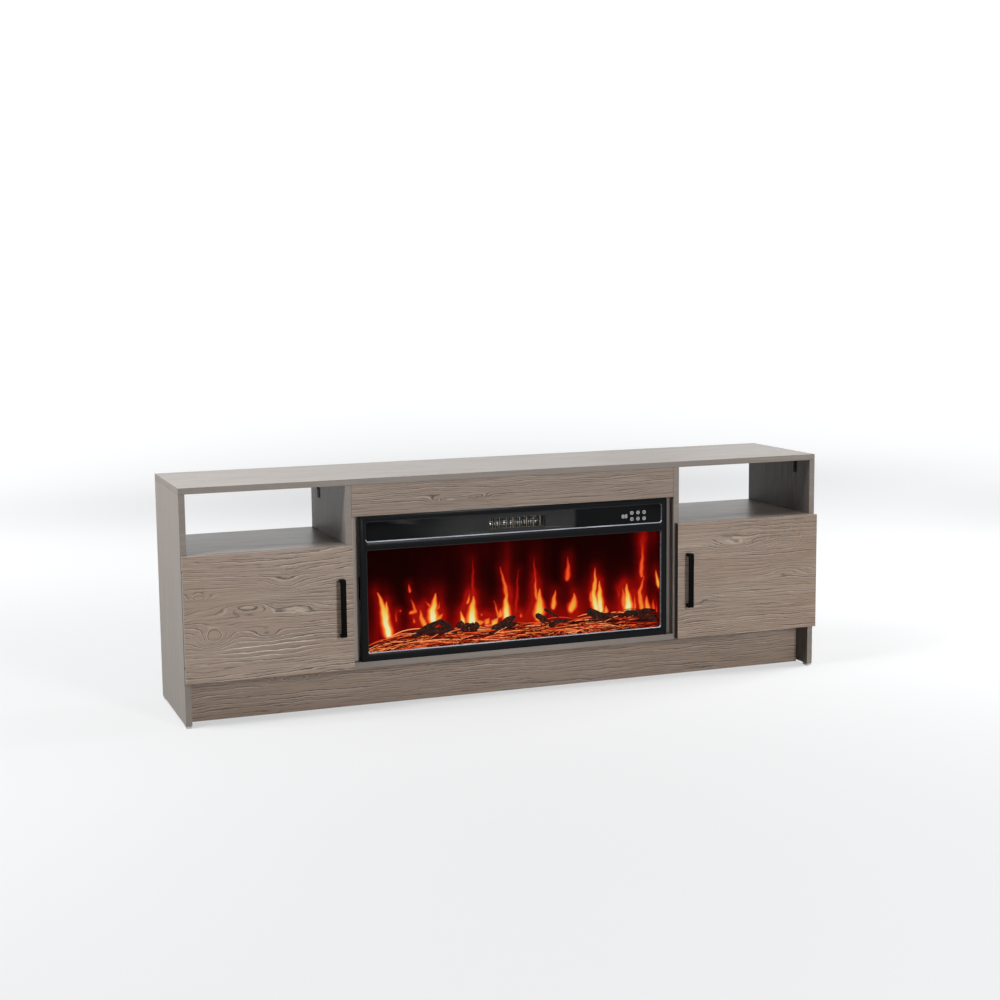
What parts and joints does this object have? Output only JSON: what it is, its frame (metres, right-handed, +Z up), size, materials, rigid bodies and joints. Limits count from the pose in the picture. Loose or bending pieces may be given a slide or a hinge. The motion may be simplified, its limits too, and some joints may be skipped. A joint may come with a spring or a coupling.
{
  "type": "fireplace tv stand",
  "caption": "Low media cabinet in grey oak laminate with open niches, hinged cupboard doors and an electric fireplace insert in the middle bay.",
  "frame": {"origin": "middle of the footprint, on the floor: the centre of the bounding box's bottom face", "axes": "+Z up, the doors face -Y, +X to the right when seen from the front"},
  "size_m": [1.8, 0.39, 0.61],
  "materials": {
    "oak_laminate": "weathered grey oak laminate, embossed grain, satin",
    "back_board": "thin laminated hardboard, matt",
    "black_metal": "matt black powder coat",
    "black_gloss": "piano black, high gloss",
    "front_glass": "clear tempered glass",
    "panel_glass": "black printed glass with white touch marks",
    "bright_trim": "polished",
    "black_plastic": "moulded, fine texture",
    "zinc_steel": "zinc plated",
    "ember_resin": "moulded logs and embers, lit from below",
    "flame_film": "diffusing screen that shows the flames",
    "mirror_foil": "reflective foil",
    "circuit_board": "green solder mask",
    "mica": "mica board, matt"
  },
  "bodies": {
    "cabinet": {"top_panel": "oak_laminate", "bottom_panel": "oak_laminate", "front_plinth": "oak_laminate", "header_panel": "oak_laminate", "rear_rail": "oak_laminate", "left_side_panel": "oak_laminate", "left_partition": "oak_laminate", "left_shelf": "oak_laminate", "left_filler_strip": "oak_laminate", "left_back_panel": "back_board", "left_front_glide": "black_plastic", "left_rear_glide": "black_plastic", "left_inner_bracket": "black_metal", "left_outer_bracket": "black_metal", "left_lower_hinge_plate": "zinc_steel", "left_upper_hinge_plate": "zinc_steel", "right_side_panel": "oak_laminate", "right_partition": "oak_laminate", "right_shelf": "oak_laminate", "right_filler_strip": "oak_laminate", "right_back_panel": "back_board", "right_front_glide": "black_plastic", "right_rear_glide": "black_plastic", "right_inner_bracket": "black_metal", "right_outer_bracket": "black_metal", "right_lower_hinge_plate": "zinc_steel", "right_upper_hinge_plate": "zinc_steel", "front_frame": "black_gloss", "control_panel": "panel_glass", "window_glass": "front_glass", "panel_trim": "bright_trim", "window_trim": "bright_trim", "outlet_grille": "black_plastic", "insert_housing": "black_metal", "rear_cover": "black_metal", "cord_gland": "black_plastic", "fuel_bed": "ember_resin", "flame_screen": "flame_film", "rotor_motor": "zinc_steel", "rotor_bearing": "black_plastic", "light_strip": "circuit_board", "blower_scroll": "zinc_steel", "blower_motor": "black_metal", "heating_element": "mica", "control_board": "circuit_board"},
    "left_door_leaf": {"left_door": "oak_laminate", "left_handle": "black_metal", "left_lower_handle_screw": "zinc_steel", "left_lower_hinge_leaf": "zinc_steel", "left_upper_handle_screw": "zinc_steel", "left_upper_hinge_leaf": "zinc_steel"},
    "right_door_leaf": {"right_door": "oak_laminate", "right_handle": "black_metal", "right_lower_handle_screw": "zinc_steel", "right_lower_hinge_leaf": "zinc_steel", "right_upper_handle_screw": "zinc_steel", "right_upper_hinge_leaf": "zinc_steel"},
    "flame_spindle": {"flame_rotor": "mirror_foil"},
    "fan": {"blower_wheel": "zinc_steel"}
  },
  "joints": [
    {"name": "left_door_hinge", "type": "hinge", "parent": "cabinet", "child": "left_door_leaf", "pos_m": [-0.894, -0.166, 0.279], "axis": [0, 0, -1], "range_deg": [0, 105]},
    {"name": "right_door_hinge", "type": "hinge", "parent": "cabinet", "child": "right_door_leaf", "pos_m": [0.894, -0.166, 0.279], "axis": [0, 0, 1], "range_deg": [0, 105]},
    {"name": "flame_spindle_turn", "type": "hinge", "parent": "cabinet", "child": "flame_spindle", "pos_m": [0, -0.052, 0.1564], "axis": [1, 0, 0], "continuous": true},
    {"name": "fan_turn", "type": "hinge", "parent": "cabinet", "child": "fan", "pos_m": [0, -0.091, 0.46], "axis": [1, 0, 0], "continuous": true}
  ]
}
